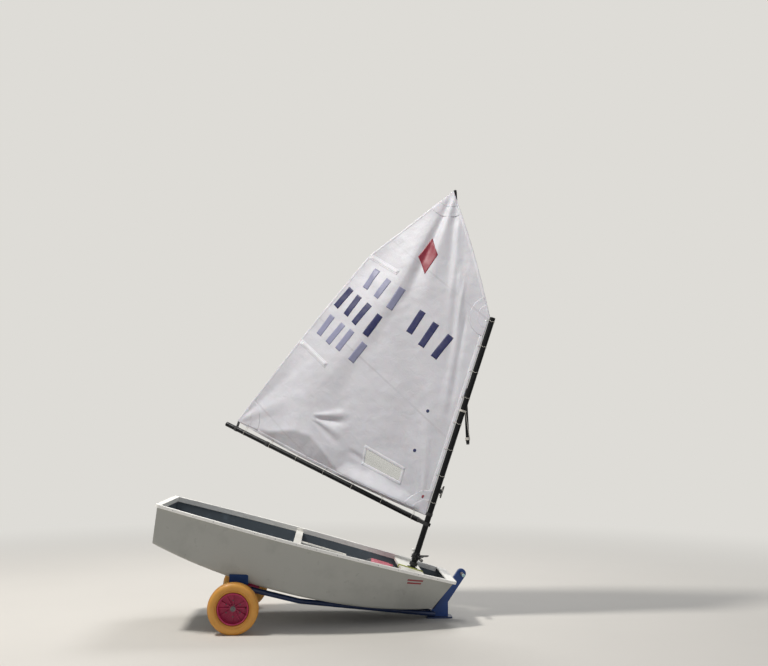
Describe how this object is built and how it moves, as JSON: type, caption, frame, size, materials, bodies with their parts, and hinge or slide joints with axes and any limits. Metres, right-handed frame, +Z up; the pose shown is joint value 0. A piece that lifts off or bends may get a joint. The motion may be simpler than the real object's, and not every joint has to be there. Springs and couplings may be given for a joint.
{
  "type": "sailing dinghy on a beach trolley",
  "caption": "Small flat-bowed open sailing dinghy with a sprit rig, standing bow down on its wheeled beach trolley; wheels roll, mast and boom turn.",
  "frame": {"origin": "on the floor under the middle of the trolley's front skid, on the centreline", "axes": "+X to the bow, +Y to port, +Z up"},
  "size_m": [2.6233, 1.6334, 3.4595],
  "materials": {
    "hull_white": "glossy white glass-reinforced moulding",
    "gunwale_white": "glossy white moulded rail",
    "lining_slate": "matt slate grey inner moulding",
    "thwart_white": "white moulded",
    "fitting_black": "moulded black nylon",
    "fitting_steel": "brushed stainless steel",
    "bag_red": "coated red fabric",
    "bag_grey": "coated grey fabric",
    "spar_black": "black anodised aluminium tube",
    "webbing_black": "woven webbing",
    "sail_cloth": "woven polyester sailcloth, crisp finish",
    "batten_white": "glass-fibre strip in a cloth pocket",
    "rope_white": "braided cord",
    "axle_steel": "zinc-plated steel",
    "trolley_blue": "dark blue powder coat on steel",
    "post_blue": "blue powder coat on steel box section",
    "chock_blue": "moulded blue closed-cell foam",
    "pad_navy": "dark closed-cell foam",
    "tyre_orange": "matt orange moulded tyre",
    "hub_crimson": "glossy crimson moulded hub"
  },
  "bodies": {
    "hull": {"hull_shell": "hull_white", "lining": "lining_slate", "gunwale_stern": "gunwale_white", "gunwale_bow": "gunwale_white", "gunwale_port": "gunwale_white", "gunwale_starboard": "gunwale_white", "middle_thwart": "thwart_white", "middle_frame": "thwart_white", "daggerboard_case": "thwart_white", "case_cap": "thwart_white", "mast_thwart": "thwart_white", "mast_bush": "fitting_black", "mast_step": "fitting_black", "stern_gudgeon_upper": "fitting_steel", "stern_gudgeon_lower": "fitting_steel", "bag_bow": "bag_red", "bag_port": "bag_grey", "bag_starboard": "bag_grey", "axle": "axle_steel", "post_port": "trolley_blue", "post_starboard": "trolley_blue", "rail_port": "trolley_blue", "rail_starboard": "trolley_blue", "cross_tube": "trolley_blue", "chock_port": "chock_blue", "chock_starboard": "chock_blue", "skid": "trolley_blue", "bow_post": "post_blue", "handle": "axle_steel", "bow_chock": "pad_navy"},
    "mast": {"mast_tube": "spar_black", "mast_heel": "fitting_black", "mast_head": "fitting_black", "mast_clamp": "fitting_black", "mast_cleat": "fitting_black"},
    "boom": {"boom_tube": "spar_black", "boom_plug": "fitting_black", "boom_jaw": "fitting_black", "boom_strap": "webbing_black", "sail": "sail_cloth", "batten_upper": "batten_white", "batten_lower": "batten_white", "clew_strap": "webbing_black", "tack_strap": "webbing_black", "sprit_tube": "spar_black", "sprit_tip": "fitting_black", "sprit_heel": "fitting_black", "snotter": "rope_white"},
    "wheel_port": {"tyre_port": "tyre_orange", "hub_port": "hub_crimson"},
    "wheel_starboard": {"tyre_starboard": "tyre_orange", "hub_starboard": "hub_crimson"}
  },
  "joints": [
    {"name": "wheel_port_spin", "type": "hinge", "parent": "hull", "child": "wheel_port", "pos_m": [-1.521, 0.53, 0.179], "axis": [0, 1, 0], "continuous": true},
    {"name": "wheel_starboard_spin", "type": "hinge", "parent": "hull", "child": "wheel_starboard", "pos_m": [-1.521, -0.53, 0.179], "axis": [0, 1, 0], "continuous": true},
    {"name": "mast_turn", "type": "hinge", "parent": "hull", "child": "mast", "pos_m": [-0.20453, 0, 0.37473], "axis": [0.3173, 0, 0.9483], "range_deg": [-90, 90]},
    {"name": "boom_swing", "type": "hinge", "parent": "mast", "child": "boom", "pos_m": [-0.09347, 0, 0.70664], "axis": [0.3173, 0, 0.9483], "range_deg": [-60.3, 119.7]}
  ]
}
